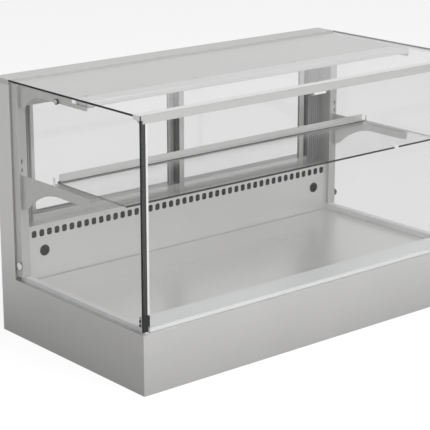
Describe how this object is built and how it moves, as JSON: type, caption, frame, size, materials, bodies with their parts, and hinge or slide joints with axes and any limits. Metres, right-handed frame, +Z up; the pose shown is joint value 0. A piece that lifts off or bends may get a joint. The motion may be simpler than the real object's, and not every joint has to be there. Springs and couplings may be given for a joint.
{
  "type": "refrigerated display case",
  "caption": "Counter-top refrigerated display case with a steel base, glass box, glass shelf, lift-out deck and sliding rear doors.",
  "frame": {"origin": "middle of the footprint at the level the case stands on", "axes": "+X to the right as seen from the front, +Y from the front glass to the rear doors, +Z up"},
  "size_m": [1.38, 0.746, 0.832],
  "materials": {
    "stainless": "fine brushed",
    "tub_steel": "satin",
    "zinc_sheet": "dull",
    "aluminium": "satin anodised",
    "grey_profile": "satin",
    "clear_glass": "clear",
    "black_rubber": "matte",
    "pad_rubber": "matte",
    "black_plastic": "fine grain",
    "dark_window": "glossy",
    "white_plastic": "satin",
    "diffuser": "opal",
    "foam": "foam",
    "copper": "dull copper",
    "polished_steel": "polished"
  },
  "bodies": {
    "case": {"apron": "stainless", "bottom_track": "aluminium", "bracket_knobs": "black_plastic", "canopy": "stainless", "columns": "stainless", "controller": "black_plastic", "controller_window": "dark_window", "copper_pipes": "copper", "cord_bush": "black_plastic", "corner_seals": "black_rubber", "cover_rail": "tub_steel", "deck_rails": "tub_steel", "door_jambs": "grey_profile", "drain": "white_plastic", "evaporator": "aluminium", "fan_frames": "black_plastic", "fan_shroud": "tub_steel", "feet": "black_rubber", "floor_pan": "zinc_sheet", "front_rail": "aluminium", "glass_fixings": "polished_steel", "header": "stainless", "hinge_brackets": "stainless", "insulation": "foam", "light_diffuser": "diffuser", "light_profile": "aluminium", "rail_catch": "white_plastic", "rear_panel": "stainless", "shelf_brackets": "stainless", "shelf_pads": "pad_rubber", "shelf_pins": "polished_steel", "side_glass": "clear_glass", "sill": "stainless", "switch_frames": "black_plastic", "top_brackets": "stainless", "top_cap": "stainless", "top_glass": "clear_glass", "top_track": "aluminium", "tub": "tub_steel", "uprights": "stainless"},
    "front_pane": {"front_glass": "clear_glass", "hinge_blocks": "black_plastic"},
    "left_door": {"door_left_glass": "clear_glass", "door_left_frame": "aluminium", "door_left_seals": "black_rubber"},
    "right_door": {"door_right_glass": "clear_glass", "door_right_frame": "aluminium", "door_right_seals": "black_rubber"},
    "shelf": {"shelf_glass": "clear_glass", "shelf_rail": "aluminium"},
    "deck_plate": {"deck": "tub_steel"},
    "rear_cover": {"duct_cover": "tub_steel", "cover_grommets": "black_rubber"},
    "left_fan": {"fan_rotor_left": "black_plastic"},
    "right_fan": {"fan_rotor_right": "black_plastic"},
    "left_switch": {"rocker_left": "black_plastic"},
    "right_switch": {"rocker_right": "black_plastic"}
  },
  "joints": [
    {"name": "front_glass_tilt", "type": "hinge", "parent": "case", "child": "front_pane", "pos_m": [0, -0.369, 0.2], "axis": [1, 0, 0], "range_deg": [0, 85]},
    {"name": "door_left_slide", "type": "slide", "parent": "case", "child": "left_door", "axis": [1, 0, 0], "range_m": [0, 0.58]},
    {"name": "door_right_slide", "type": "slide", "parent": "case", "child": "right_door", "axis": [-1, 0, 0], "range_m": [0, 0.58]},
    {"name": "shelf_lift", "type": "slide", "parent": "case", "child": "shelf", "axis": [0, 0, 1], "range_m": [0, 0.08]},
    {"name": "deck_lift", "type": "slide", "parent": "case", "child": "deck_plate", "axis": [0, 0, 1], "range_m": [0, 0.1]},
    {"name": "cover_unhook", "type": "slide", "parent": "case", "child": "rear_cover", "axis": [0, 0, 1], "range_m": [0, 0.012]},
    {"name": "fan_left_spin", "type": "hinge", "parent": "case", "child": "left_fan", "pos_m": [-0.3, 0.287, 0.135], "axis": [0, 1, 0], "continuous": true},
    {"name": "fan_right_spin", "type": "hinge", "parent": "case", "child": "right_fan", "pos_m": [0.3, 0.287, 0.135], "axis": [0, 1, 0], "continuous": true},
    {"name": "switch_left_tip", "type": "hinge", "parent": "case", "child": "left_switch", "pos_m": [-0.375, 0.3655, 0.047], "axis": [1, 0, 0], "range_deg": [0, 14]},
    {"name": "switch_right_tip", "type": "hinge", "parent": "case", "child": "right_switch", "pos_m": [-0.34, 0.3655, 0.047], "axis": [1, 0, 0], "range_deg": [0, 14]}
  ]
}
